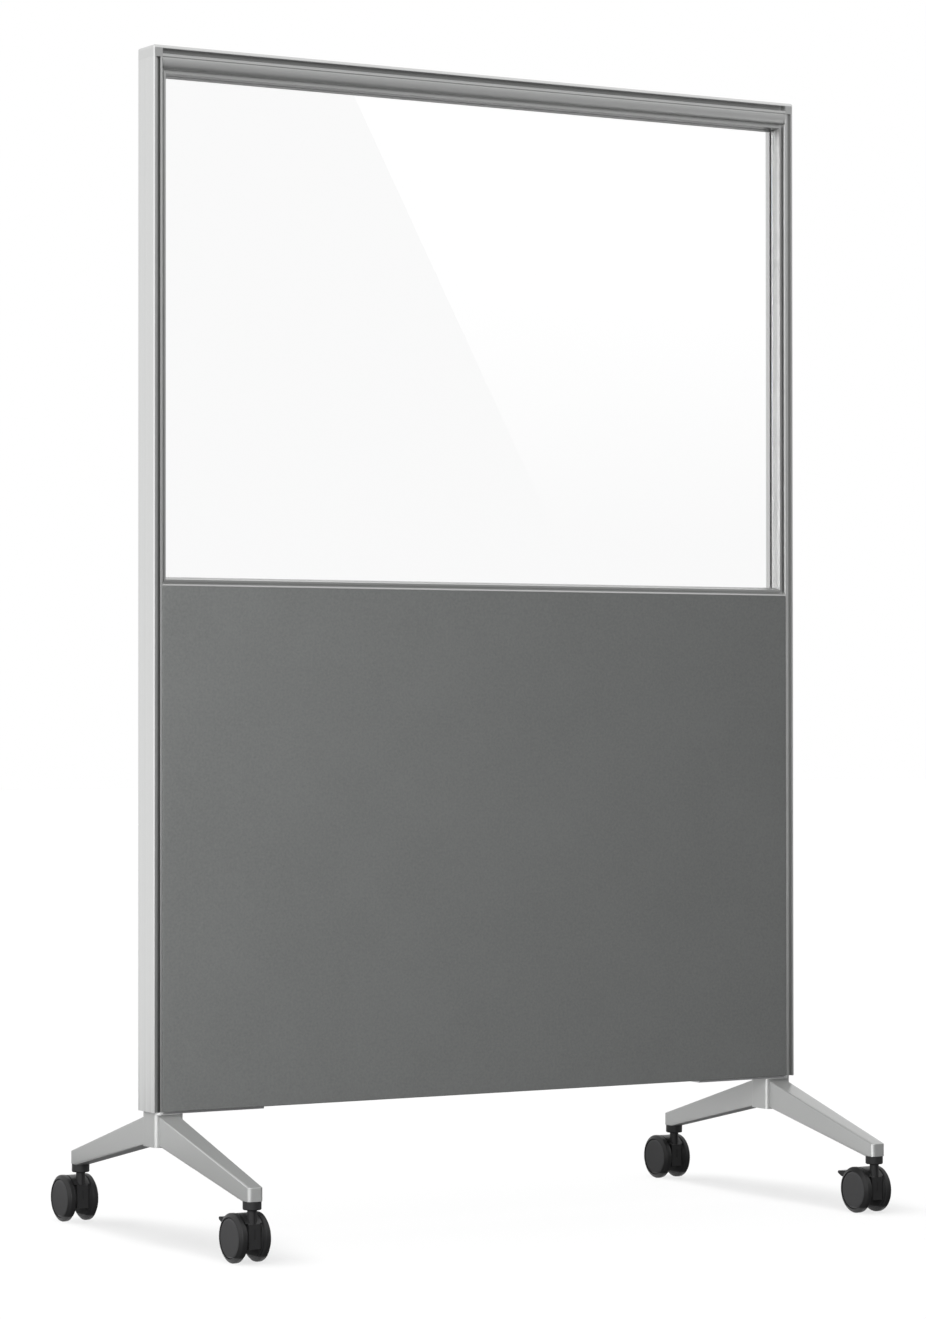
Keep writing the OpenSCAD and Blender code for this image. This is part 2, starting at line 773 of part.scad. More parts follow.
// facing tells on which side of the body the wheel runs
module caster_wheel(sx, sy, facing) {
    bore = axle_d / 2 + run_c;
    seat_x = wheel_out - 0.6 - hub_cap_t;
    rim_r = hub_cap_d / 2 + 0.2;
    shoulder_r = hood_r - fender_t - 0.5;
    tread_x = fender_w / 2 + 0.6;
    color(black_plastic) on_axle(sx, sy, facing) polygon([
        [bore, wheel_in], [shoulder_r - 3, wheel_in], [shoulder_r, wheel_in + 1.5],
        [shoulder_r, tread_x], [wheel_r - 0.4, tread_x + 1.6], [wheel_r, tread_x + 3],
        [wheel_r, wheel_out - 4.6], [wheel_r - 0.6, wheel_out - 3.4], [rim_r + 2.6, wheel_out - 0.6],
        [rim_r + 1.6, wheel_out], [rim_r + 0.4, wheel_out], [rim_r, wheel_out - 0.4],
        [rim_r, seat_x], [bore, seat_x]]);
}

module hub_cap(sx, sy, facing) {
    seat_x = wheel_out - 0.6 - hub_cap_t;
    cap_edge = hub_cap_d / 2;
    color([0.2, 0.2, 0.2]) on_axle(sx, sy, facing) polygon([
        [0, seat_x], [cap_edge, seat_x], [cap_edge, seat_x + hub_cap_t - 0.7],
        [cap_edge - 0.8, seat_x + hub_cap_t - 0.2], [cap_edge - 3, seat_x + hub_cap_t],
        [0, seat_x + hub_cap_t]]);
}

// ---------------------------------------------------------------- nodes

post(left);  // left_post
post(right);  // right_post
jamb(left);  // left_jamb
jamb(right);  // right_jamb
corner_block(left);  // left_corner_block
corner_block(right);  // right_corner_block
top_cap();
top_rail();
inner_rail(tile_z - mid_rail_h, mid_rail_h);  // mid_rail
inner_rail(under_h, bottom_rail_h);  // bottom_rail
glazing_top();
glazing_bottom();
glazing_side(left);  // glazing_left
glazing_side(right);  // glazing_right
glass_pane();
gasket(front);  // front_gasket
gasket(rear);  // rear_gasket
fabric_tile(front);  // front_fabric_tile
fabric_tile(rear);  // rear_fabric_tile
core_board();
tile_clips();
corner_keys();
frame_screws();
foot(left);  // left_foot
foot(right);  // right_foot
foot_plates();
foot_bolts();
caster_sockets();

caster_stem(left, front);  // front_left_caster_stem
caster_body(left, front, true);  // front_left_caster_body
caster_axle(left, front);  // front_left_caster_axle
caster_wheel(left, front, left);  // front_left_outer_wheel
caster_wheel(left, front, right);  // front_left_inner_wheel
hub_cap(left, front, left);  // front_left_outer_hub_cap
hub_cap(left, front, right);  // front_left_inner_hub_cap
brake_lever(left, front);  // front_left_brake_lever

caster_stem(right, front);  // front_right_caster_stem
caster_body(right, front, true);  // front_right_caster_body
caster_axle(right, front);  // front_right_caster_axle
caster_wheel(right, front, right);  // front_right_outer_wheel
caster_wheel(right, front, left);  // front_right_inner_wheel
hub_cap(right, front, right);  // front_right_outer_hub_cap
hub_cap(right, front, left);  // front_right_inner_hub_cap
brake_lever(right, front);  // front_right_brake_lever

caster_stem(left, rear);  // rear_left_caster_stem
caster_body(left, rear, false);  // rear_left_caster_body
caster_axle(left, rear);  // rear_left_caster_axle
caster_wheel(left, rear, left);  // rear_left_outer_wheel
caster_wheel(left, rear, right);  // rear_left_inner_wheel
hub_cap(left, rear, left);  // rear_left_outer_hub_cap
hub_cap(left, rear, right);  // rear_left_inner_hub_cap

caster_stem(right, rear);  // rear_right_caster_stem
caster_body(right, rear, false);  // rear_right_caster_body
caster_axle(right, rear);  // rear_right_caster_axle
caster_wheel(right, rear, right);  // rear_right_outer_wheel
caster_wheel(right, rear, left);  // rear_right_inner_wheel
hub_cap(right, rear, right);  // rear_right_outer_hub_cap
hub_cap(right, rear, left);  // rear_right_inner_hub_cap
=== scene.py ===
"""Finishes, soft covers and studio for the rolling partition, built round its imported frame."""

import math

import bpy
import numpy as np
from bpy.props import FloatProperty, FloatVectorProperty, IntProperty, PointerProperty
from mathutils import Matrix, Vector


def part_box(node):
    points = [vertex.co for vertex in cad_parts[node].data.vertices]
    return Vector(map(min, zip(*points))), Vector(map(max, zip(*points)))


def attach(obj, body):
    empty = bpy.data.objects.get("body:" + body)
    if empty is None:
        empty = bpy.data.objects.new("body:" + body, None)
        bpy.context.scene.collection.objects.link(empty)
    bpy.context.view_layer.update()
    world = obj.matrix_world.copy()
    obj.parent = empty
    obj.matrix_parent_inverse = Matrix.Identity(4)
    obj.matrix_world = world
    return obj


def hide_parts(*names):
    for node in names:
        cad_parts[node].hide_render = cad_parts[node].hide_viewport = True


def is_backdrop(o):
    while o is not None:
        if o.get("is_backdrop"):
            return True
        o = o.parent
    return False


bl_info = {
    "name": "Rolling Partition Studio",
    "version": (1, 0, 0),
    "blender": (4, 5, 0),
    "location": "View3D > Sidebar > Partition",
    "description": "Finishes a rolling office partition and sets up its studio",
    "category": "Object",
}

SIDEBAR_TAB = "Partition"

# Grooves of the extrusions, in metres, and their painted shade: factors that darken the colour
# where shade falls in them. GROOVE_LIP is the depth below a face at which the painted shade
# is full.
GROOVE_LIP = 0.0032
# The slot in a post's face runs from just inside the jamb's side to the nose, which is the outer
# 4.3 mm of the post. Painted shade darkens it in its two corners.
JAMB_OVERLAP = 0.0002
POST_NOSE = 0.0043
SLOT_CORNER = 0.0028
JAMB_SIDE_PAINTED_SHADE = 0.34
NOSE_SIDE_PAINTED_SHADE = 0.6
# The channel of the top rail starts CHANNEL_HEIGHT below the cap, and its painted shade ends at
# the height ABOVE_PART. The rail also gets painted shade at its ends, where it meets the corner
# blocks.
CHANNEL_HEIGHT = 0.0077
CHANNEL_PAINTED_SHADE = 0.45
ABOVE_PART = 2.0
RAIL_END_WIDTH = 0.0032
RAIL_END_PAINTED_SHADE = 0.6
# The reveal under the top glazing bar, and the step in the reveals of the upright bars, given by
# its distance from the plane y = 0. Both are darkened with painted shade.
TOP_REVEAL_HEIGHT = 0.0043
TOP_REVEAL_PAINTED_SHADE = 0.36
REVEAL_STEP = (0.029, 0.0375)
REVEAL_STEP_PAINTED_SHADE = 0.8

# How the grain is stretched: along an upright, along a level piece, or the same every way.
UPRIGHT_GRAIN = (1, 1, 0.01)
LEVEL_GRAIN = (0.01, 1, 1)
EVEN_GRAIN = (1, 1, 1)

# Finishes: the scale of the grain, the two ends of the roughness, the height of the relief in
# metres, how far the grain changes the colour, and how metallic or glossy the surface is.
ANODISED = {"scale": 900, "gloss": (0.30, 0.38), "height": 0.00001, "contrast": 0.03,
            "metallic": 1.0}
LACQUERED = {"scale": 700, "gloss": (0.40, 0.50), "height": 0.00003, "contrast": 0.03,
             "metallic": 0.4}
CAST = {"scale": 700, "gloss": (0.26, 0.32), "height": 0.00002, "contrast": 0.03,
        "metallic": 1.0}
PLATED = {"scale": 1200, "gloss": (0.28, 0.42), "height": 0.00001, "contrast": 0.06,
          "metallic": 1.0}
RUBBER = {"scale": 500, "gloss": (0.55, 0.75), "height": 0.00002, "contrast": 0.1}
NYLON = {"scale": 900, "gloss": (0.32, 0.44), "height": 0.00002, "contrast": 0.12}
NYLON_WHEEL = {"scale": 600, "gloss": (0.36, 0.52), "height": 0.00003, "contrast": 0.15,
               "specular": 0.4}
NYLON_CAP = {"scale": 900, "gloss": (0.34, 0.42), "height": 0.00002, "contrast": 0.06}
FIBREBOARD = {"scale": 300, "gloss": (0.75, 0.9), "height": 0.0001, "contrast": 0.2}
CLEAR_COAT = {"Coat Weight": 0.8, "Coat Roughness": 0.15}
GLASS = {"Roughness": 0.0, "IOR": 1.45, "Transmission Weight": 1.0}

# Tones of single pieces, as shares of the colour of their group.
RAIL_TONE = 1.12
BAR_TONE = 0.84
BLOCK_TONE = 0.95
WHEEL_TONE = 0.8
CAP_TONE = 2.8

# Fabric: how much the threads and the slow noise weigh, how far they change the colour, and the
# noises, the relief and the surface themselves.
# THREAD_WEIGHT also sets how much painted shade falls into the gaps between the threads.
THREAD_WEIGHT = 0.35
MOTTLE_WEIGHT = 0.25
CLOTH_CONTRAST = 0.26
SLUBS = {"Scale": 260, "Detail": 4, "Roughness": 0.65}
MOTTLE = {"Scale": 9, "Detail": 2}
CLOTH_RELIEF = {"Strength": 0.5, "Distance": 0.0002}
CLOTH = {"Roughness": 0.92, "Specular IOR Level": 0.2, "Sheen Weight": 0.15,
         "Sheen Roughness": 0.5}

# Sockets of a Mix node for colours: its two colours and its result.
MIX_A, MIX_B, MIX_RESULT = 6, 7, 2

# Faces of a cover: round a quarter of its wrapped edge, in from the edge to the middle, and
# along its level and its upright sides.
EDGE_STEPS = 12
FRONT_RINGS = 23
LEVEL_FACES = 40
UPRIGHT_FACES = 28

# Floor: its grey and its own glow where it is seen, and the grey that light bounces off.
FLOOR_REACH = 30
FLOOR_GREY = 0.38
FLOOR_GLOW = 0.39
BOUNCE_GREY = 0.25

# Lamps: where they stand or the direction they come from.
KEY_PLACE = (-2.4, -2.2, 1.5)
KEY_TARGET = (0, 0, 0.9)
KEY_SIZE = 1.8
OVERHEAD_FROM = (-0.3, 0, 1)
FOOT_LIGHT_FROM = (-0.3, -0.4, 1)
REAR_FILL_FROM = (0.5, 0.85, 0.15)
CLIP_END = 100

# Cards: the front ones hang in the plane y = FRONT, from x = LEFT over NEAR_END to FAR_END, and
# the left one in the plane x = LEFT. They start at the height CARD_FOOT, and the front and the
# upper card meet at SPLIT. The glass card hangs at y = SHINE, just before the front ones, and its
# slanted side draws the edge of the sheen on the pane. PLAIN stands for the heights of a card
# that glows evenly.
FRONT = -4.5
LEFT = -4.5
NEAR_END = -0.9
FAR_END = 9.0
CARD_FOOT = 0.02
SPLIT = 3.3
SHINE = -4.45
PLAIN = (0.0, 1.0)

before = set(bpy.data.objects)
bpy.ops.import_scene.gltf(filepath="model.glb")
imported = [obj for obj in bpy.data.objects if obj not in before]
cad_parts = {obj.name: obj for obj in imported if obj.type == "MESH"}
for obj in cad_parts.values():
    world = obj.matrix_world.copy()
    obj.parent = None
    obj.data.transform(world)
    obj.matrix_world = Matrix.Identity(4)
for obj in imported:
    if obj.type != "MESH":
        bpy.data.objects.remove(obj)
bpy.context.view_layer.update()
PANEL_Y = (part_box("glass_pane")[0][1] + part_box("glass_pane")[1][1]) / 2
PANEL_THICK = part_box("left_post")[1][1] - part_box("left_post")[0][1]

CASTERS = [f"{end}_{side}" for end in ("front", "rear") for side in ("left", "right")]
UPRIGHTS = ["left_post", "right_post", "left_jamb", "right_jamb"]
LEVELS = ["top_cap", "mid_rail", "bottom_rail", "corner_keys"]
UPRIGHT_BARS = ["glazing_left", "glazing_right"]
LEVEL_BARS = ["glazing_top", "glazing_bottom"]
FEET = ["left_foot", "right_foot"]
BLOCKS = ["left_corner_block", "right_corner_block"]
STEELWORK = ["tile_clips", "frame_screws", "foot_plates", "foot_bolts"]


# ---------------------------------------------------------------- settings

class FinishSettings(bpy.types.PropertyGroup):
    """Colours and gloss of the partition's surfaces"""
    aluminium: FloatVectorProperty(
        name="Aluminium", description="Colour of the anodised extrusions",
        subtype='COLOR', size=3, min=0, max=1, default=(0.66, 0.665, 0.66))
    casting: FloatVectorProperty(
        name="Casting", description="Colour of the silver lacquer on the feet",
        subtype='COLOR', size=3, min=0, max=1, default=(0.36, 0.364, 0.36))
    steel: FloatVectorProperty(
        name="Steel", description="Colour of the plated screws, plates and stems",
        subtype='COLOR', size=3, min=0, max=1, default=(0.55, 0.55, 0.56))
    fabric: FloatVectorProperty(
        name="Fabric", description="Mean colour of the woven covers",
        subtype='COLOR', size=3, min=0, max=1, default=(0.1275, 0.1315, 0.1295))
    nylon: FloatVectorProperty(
        name="Nylon", description="Colour of the moulded caster parts",
        subtype='COLOR', size=3, min=0, max=1, default=(0.018, 0.018, 0.0185))
    rubber: FloatVectorProperty(
        name="Rubber", description="Colour of the grey rings that hold the pane",
        subtype='COLOR', size=3, min=0, max=1, default=(0.42, 0.42, 0.42))
    board: FloatVectorProperty(
        name="Board", description="Colour of the hidden fibreboard core",
        subtype='COLOR', size=3, min=0, max=1, default=(0.42, 0.31, 0.20))
    glass_tint: FloatVectorProperty(
        name="Glass", description="Tint of the clear pane",
        subtype='COLOR', size=3, min=0, max=1, default=(0.974, 0.975, 0.975))
    thread_pitch: FloatProperty(
        name="Thread pitch", description="Distance between neighbouring threads of the fabric",
        unit='LENGTH', min=0.0003, max=0.004, default=0.0011)


class CoverSettings(bpy.types.PropertyGroup):
    """Shape of the fabric covers"""
    edge_radius: FloatProperty(
        name="Edge radius", description="Radius of the wrapped edge round each cover",
        unit='LENGTH', min=0.0005, max=0.005, default=0.0018)
    crown: FloatProperty(
        name="Crown", description="How far the fabric stands proud at the middle of a cover",
        unit='LENGTH', min=0, max=0.003, default=0.0004)


class StudioSettings(bpy.types.PropertyGroup):
    """Camera and light of the studio"""
    camera_place: FloatVectorProperty(
        name="Camera place", description="Where the camera stands",
        subtype='TRANSLATION', size=3, default=(-3.4178, -5.5772, 0.8200))
    camera_yaw: FloatProperty(
        name="Camera yaw", description="How far the camera turns from +Y towards +X",
        unit='ROTATION', default=math.radians(31.359))
    camera_pitch: FloatProperty(
        name="Camera pitch", description="How far the camera looks up",
        unit='ROTATION', default=math.radians(0.648))
    camera_roll: FloatProperty(
        name="Camera roll", description="How far the camera leans",
        unit='ROTATION', default=math.radians(-0.040))
    focal_pixels: FloatProperty(
        name="Focal length", description="Focal length in pixels of an image 1319 pixels high",
        min=1000, max=10000, default=4067.4)
    image_height: IntProperty(
        name="Image height", description="Height in pixels of the image the camera was fitted to",
        min=100, max=4000, default=1319)
    key_power: FloatProperty(
        name="Key", description="Power of the large lamp in front on the left",
        unit='POWER', min=0, max=2000, default=112)
    overhead_strength: FloatProperty(
        name="Overhead",
        description="Strength of the light above that draws the feet's soft shadow",
        min=0, max=20, default=4.6)
    overhead_spread: FloatProperty(
        name="Overhead spread", description="Angle under which the light above is seen",
        unit='ROTATION', min=0, max=math.pi, default=math.radians(58))
    foot_strength: FloatProperty(
        name="Foot light", description="Strength of the light on the upper sides of the feet",
        min=0, max=20, default=1.1)
    rear_strength: FloatProperty(
        name="Rear fill",
        description="Strength of the light that fills the rear and the right side",
        min=0, max=20, default=2.6)
    ambient: FloatProperty(
        name="Ambient", description="Strength of the even light from all round",
        min=0, max=2, default=0.26)


class PartitionSettings(bpy.types.PropertyGroup):
    """All settings of the rolling partition"""
    finish: PointerProperty(type=FinishSettings)
    cover: PointerProperty(type=CoverSettings)
    studio: PointerProperty(type=StudioSettings)


def settings():
    """The scene's settings of this add-on."""
    return bpy.context.scene.partition


# ---------------------------------------------------------------- node helpers

def fill(node, values):
    """Sets the input sockets named in values."""
    for name, value in values.items():
        node.inputs[name].default_value = value


def add(tree, kind, values=None, **attributes):
    """Adds a node, sets its attributes and the sockets named in values."""
    node = tree.nodes.new(kind)
    for name, value in attributes.items():
        setattr(node, name, value)
    fill(node, values or {})
    return node


def join(tree, *pairs):
    """Links each (output, input) pair of sockets."""
    for source, target in pairs:
        tree.links.new(source, target)


def empty_tree(holder):
    """The emptied node tree of a material or a world."""
    holder.use_nodes = True
    holder.node_tree.nodes.clear()
    return holder.node_tree


def new_material(name, values):
    """A node material with its output, and the Principled shader that feeds it, set to values."""
    material = bpy.data.materials.new(name)
    tree = empty_tree(material)
    output = add(tree, 'ShaderNodeOutputMaterial')
    shader = add(tree, 'ShaderNodeBsdfPrincipled', values)
    join(tree, (shader.outputs["BSDF"], output.inputs["Surface"]))
    return material, tree, shader


def colour(rgb, factor=1.0):
    """An RGBA value from a colour property, made lighter or darker by factor."""
    return tuple(min(1.0, channel * factor) for channel in rgb) + (1.0,)


def toned(rgb, factor):
    """A colour property made lighter or darker by factor."""
    return [factor * channel for channel in rgb]


def grey(level):
    """An opaque grey of this level."""
    return (level, level, level, 1)


def colour_mix(tree, rgb, contrast):
    """A Mix node from rgb darkened by contrast to rgb lightened by it."""
    blend = add(tree, 'ShaderNodeMix', data_type='RGBA')
    blend.inputs[MIX_A].default_value = colour(rgb, 1 - contrast)
    blend.inputs[MIX_B].default_value = colour(rgb, 1 + contrast)
    return blend


def new_group(name, inputs, outputs):
    """An empty shader node group with named sockets, and its input and output nodes."""
    group = bpy.data.node_groups.new(name, 'ShaderNodeTree')
    for socket, kind, default in inputs:
        item = group.interface.new_socket(socket, in_out='INPUT', socket_type=kind)
        item.default_value = default
    for socket, kind in outputs:
        group.interface.new_socket(socket, in_out='OUTPUT', socket_type=kind)
    return group, group.nodes.new('NodeGroupInput'), group.nodes.new('NodeGroupOutput')


def use_group(tree, group, values):
    """Places a node group in a material with its own values."""
    node = tree.nodes.new('ShaderNodeGroup')
    node.node_tree = group
    fill(node, values)
    return node


def dress(objects, material):
    """Gives each object one material."""
    for piece in objects:
        piece.data.materials.clear()
        piece.data.materials.append(material)


def nodes_named(names):
    """The CAD objects with these names."""
    return [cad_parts[name] for name in names]


# ---------------------------------------------------------------- shared effects

def surface_grain():
    """Node group: a noise stretched by Stretch, as a grey mask, a roughness and a normal."""
    name = "Surface grain"
    if name in bpy.data.node_groups:
        return bpy.data.node_groups[name]
    group, entry, exit_ = new_group(
        name,
        [("Stretch", 'NodeSocketVector', (1, 1, 1)), ("Scale", 'NodeSocketFloat', 400),
         ("Detail", 'NodeSocketFloat', 3), ("Roughness low", 'NodeSocketFloat', 0.3),
         ("Roughness high", 'NodeSocketFloat', 0.4), ("Height", 'NodeSocketFloat', 0.00002)],
        [("Mask", 'NodeSocketFloat'), ("Roughness", 'NodeSocketFloat'),
         ("Normal", 'NodeSocketVector')])
    place = add(group, 'ShaderNodeTexCoord')
    stretch = add(group, 'ShaderNodeVectorMath', operation='MULTIPLY')
    noise = add(group, 'ShaderNodeTexNoise')
    spread = add(group, 'ShaderNodeMapRange')
    bump = add(group, 'ShaderNodeBump', {"Strength": 1.0})
    join(group,
         (place.outputs["Object"], stretch.inputs[0]),
         (entry.outputs["Stretch"], stretch.inputs[1]),
         (stretch.outputs["Vector"], noise.inputs["Vector"]),
         (entry.outputs["Scale"], noise.inputs["Scale"]),
         (entry.outputs["Detail"], noise.inputs["Detail"]),
         (noise.outputs["Fac"], spread.inputs["Value"]),
         (entry.outputs["Roughness low"], spread.inputs["To Min"]),
         (entry.outputs["Roughness high"], spread.inputs["To Max"]),
         (noise.outputs["Fac"], bump.inputs["Height"]),
         (entry.outputs["Height"], bump.inputs["Distance"]),
         (noise.outputs["Fac"], exit_.inputs["Mask"]),
         (spread.outputs["Result"], exit_.inputs["Roughness"]),
         (bump.outputs["Normal"], exit_.inputs["Normal"]))
    return group


def grained(name, tone, stretch, scale, gloss, height, contrast, metallic=0.0, specular=0.5):
    """A material whose colour, roughness and relief follow one grain.

    tone is its colour, gloss the two ends of its roughness, contrast how far the grain darkens
    and lightens the colour.
    """
    material, tree, shader = new_material(
        name, {"Metallic": metallic, "Specular IOR Level": specular})
    grain = use_group(tree, surface_grain(), {
        "Stretch": stretch, "Scale": scale,
        "Roughness low": gloss[0], "Roughness high": gloss[1], "Height": height})
    blend = colour_mix(tree, tone, contrast)
    join(tree,
         (grain.outputs["Mask"], blend.inputs["Factor"]),
         (blend.outputs[MIX_RESULT], shader.inputs["Base Color"]),
         (grain.outputs["Roughness"], shader.inputs["Roughness"]),
         (grain.outputs["Normal"], shader.inputs["Normal"]))
    return material


def recess_shade():
    """Node group: painted shade, 1 on open surfaces and Dark inside a groove that runs along the
    part.

    Across is the place across the groove, which lies between Low and High. The part is Thick
    thick about the plane y = Middle, and the shade is full at the depth Lip below its faces.
    The depth is half of Thick less the distance from the plane.
    """
    name = "Recess shade"
    if name in bpy.data.node_groups:
        return bpy.data.node_groups[name]
    group, entry, exit_ = new_group(
        name,
        [("Across", 'NodeSocketFloat', 0), ("Low", 'NodeSocketFloat', 0),
         ("High", 'NodeSocketFloat', 1), ("Middle", 'NodeSocketFloat', 0),
         ("Thick", 'NodeSocketFloat', 0.05), ("Lip", 'NodeSocketFloat', 0.001),
         ("Dark", 'NodeSocketFloat', 0.3)],
        [("Shade", 'NodeSocketFloat')])
    place = add(group, 'ShaderNodeTexCoord')
    split = add(group, 'ShaderNodeSeparateXYZ')
    off = add(group, 'ShaderNodeMath', operation='SUBTRACT')
    out = add(group, 'ShaderNodeMath', operation='ABSOLUTE')
    sunk = add(group, 'ShaderNodeMath', operation='MULTIPLY_ADD')
    sunk.inputs[1].default_value = 0.5
    turned = add(group, 'ShaderNodeMath', operation='MULTIPLY')
    turned.inputs[1].default_value = -1
    deep = add(group, 'ShaderNodeMapRange', {"From Min": 0.0})
    above = add(group, 'ShaderNodeMath', operation='GREATER_THAN')
    below = add(group, 'ShaderNodeMath', operation='LESS_THAN')
    between = add(group, 'ShaderNodeMath', operation='MULTIPLY')
    inside = add(group, 'ShaderNodeMath', operation='MULTIPLY')
    shade = add(group, 'ShaderNodeMapRange', {"To Min": 1.0})
    join(group,
         (place.outputs["Object"], split.inputs["Vector"]), (split.outputs["Y"], off.inputs[0]),
         (entry.outputs["Middle"], off.inputs[1]), (off.outputs[0], out.inputs[0]),
         (out.outputs[0], turned.inputs[0]), (entry.outputs["Thick"], sunk.inputs[0]),
         (turned.outputs[0], sunk.inputs[2]),
         (sunk.outputs[0], deep.inputs["Value"]),
         (entry.outputs["Lip"], deep.inputs["From Max"]),
         (entry.outputs["Across"], above.inputs[0]), (entry.outputs["Low"], above.inputs[1]),
         (entry.outputs["Across"], below.inputs[0]), (entry.outputs["High"], below.inputs[1]),
         (above.outputs[0], between.inputs[0]), (below.outputs[0], between.inputs[1]),
         (between.outputs[0], inside.inputs[0]), (deep.outputs["Result"], inside.inputs[1]),
         (inside.outputs[0], shade.inputs["Value"]),
         (entry.outputs["Dark"], shade.inputs["To Max"]),
         (shade.outputs["Result"], exit_.inputs["Shade"]))
    return group


def shade_groove(material, axis, low, high, dark):
    """Paints shade into a material's colour in the groove from low to high, both distances from 0
    along axis.
    """
    tree = material.node_tree
    shader = tree.nodes["Principled BSDF"]
    source = shader.inputs["Base Color"].links[0].from_socket
    place = add(tree, 'ShaderNodeTexCoord')
    split = add(tree, 'ShaderNodeSeparateXYZ')
    across = add(tree, 'ShaderNodeMath', operation='ABSOLUTE')
    groove = use_group(tree, recess_shade(), {
        "Low": low, "High": high, "Middle": PANEL_Y, "Thick": PANEL_THICK,
        "Lip": GROOVE_LIP, "Dark": dark})
    # Painted shade: the colour is multiplied by the groove's shade.
    tint = add(tree, 'ShaderNodeVectorMath', operation='SCALE')
    join(tree,
         (place.outputs["Object"], split.inputs["Vector"]),
         (split.outputs[axis], across.inputs[0]),
         (across.outputs[0], groove.inputs["Across"]), (source, tint.inputs[0]),
         (groove.outputs["Shade"], tint.inputs["Scale"]),
         (tint.outputs["Vector"], shader.inputs["Base Color"]))


# ---------------------------------------------------------------- finishes

def glass_material():
    """Clear float glass: smooth, nearly colourless, with the sheen of its two faces."""
    tint = colour(settings().finish.glass_tint)
    return new_material("clear glass", {"Base Color": tint, **GLASS})[0]


def fabric_material():
    """Plain weave in the cover's own UV map, which holds metres along the cloth.

    Two families of threads cross over and under. Their heights are sines of the UV place and give
    the relief; the colour follows them too, a painted shade that darkens the gaps between the
    threads, and a slow noise lightens and darkens the cloth.
    """
    finish = settings().finish
    material, tree, shader = new_material("charcoal fabric", CLOTH)
    place = add(tree, 'ShaderNodeUVMap', uv_map="cloth")
    split = add(tree, 'ShaderNodeSeparateXYZ')
    join(tree, (place.outputs["UV"], split.inputs["Vector"]))
    waves = []
    for axis in ("X", "Y"):
        turns = add(tree, 'ShaderNodeMath', operation='MULTIPLY')
        turns.inputs[1].default_value = math.pi / finish.thread_pitch
        wave = add(tree, 'ShaderNodeMath', operation='SINE')
        join(tree, (split.outputs[axis], turns.inputs[0]), (turns.outputs[0], wave.inputs[0]))
        waves.append(wave)
    weave = add(tree, 'ShaderNodeMath', operation='MULTIPLY')
    rise = add(tree, 'ShaderNodeMath', operation='ABSOLUTE')
    slubs = add(tree, 'ShaderNodeTexNoise', SLUBS)
    mottle = add(tree, 'ShaderNodeTexNoise', MOTTLE)
    object_place = add(tree, 'ShaderNodeTexCoord')
    # Painted shade: the thread heights darken the colour in the gaps, and the slubs vary its
    # tone.
    cover = add(tree, 'ShaderNodeMath', operation='MULTIPLY_ADD')
    cover.inputs[1].default_value = THREAD_WEIGHT
    shade = add(tree, 'ShaderNodeMath', operation='MULTIPLY_ADD')
    shade.inputs[1].default_value = MOTTLE_WEIGHT
    blend = colour_mix(tree, finish.fabric, CLOTH_CONTRAST)
    bump = add(tree, 'ShaderNodeBump', CLOTH_RELIEF)
    join(tree,
         (waves[0].outputs[0], weave.inputs[0]), (waves[1].outputs[0], weave.inputs[1]),
         (weave.outputs[0], rise.inputs[0]),
         (object_place.outputs["Object"], slubs.inputs["Vector"]),
         (object_place.outputs["Object"], mottle.inputs["Vector"]),
         (rise.outputs[0], cover.inputs[0]), (slubs.outputs["Fac"], cover.inputs[2]),
         (mottle.outputs["Fac"], shade.inputs[0]), (cover.outputs[0], shade.inputs[2]),
         (shade.outputs[0], blend.inputs["Factor"]),
         (blend.outputs[MIX_RESULT], shader.inputs["Base Color"]),
         (cover.outputs[0], bump.inputs["Height"]),
         (bump.outputs["Normal"], shader.inputs["Normal"]))
    return material


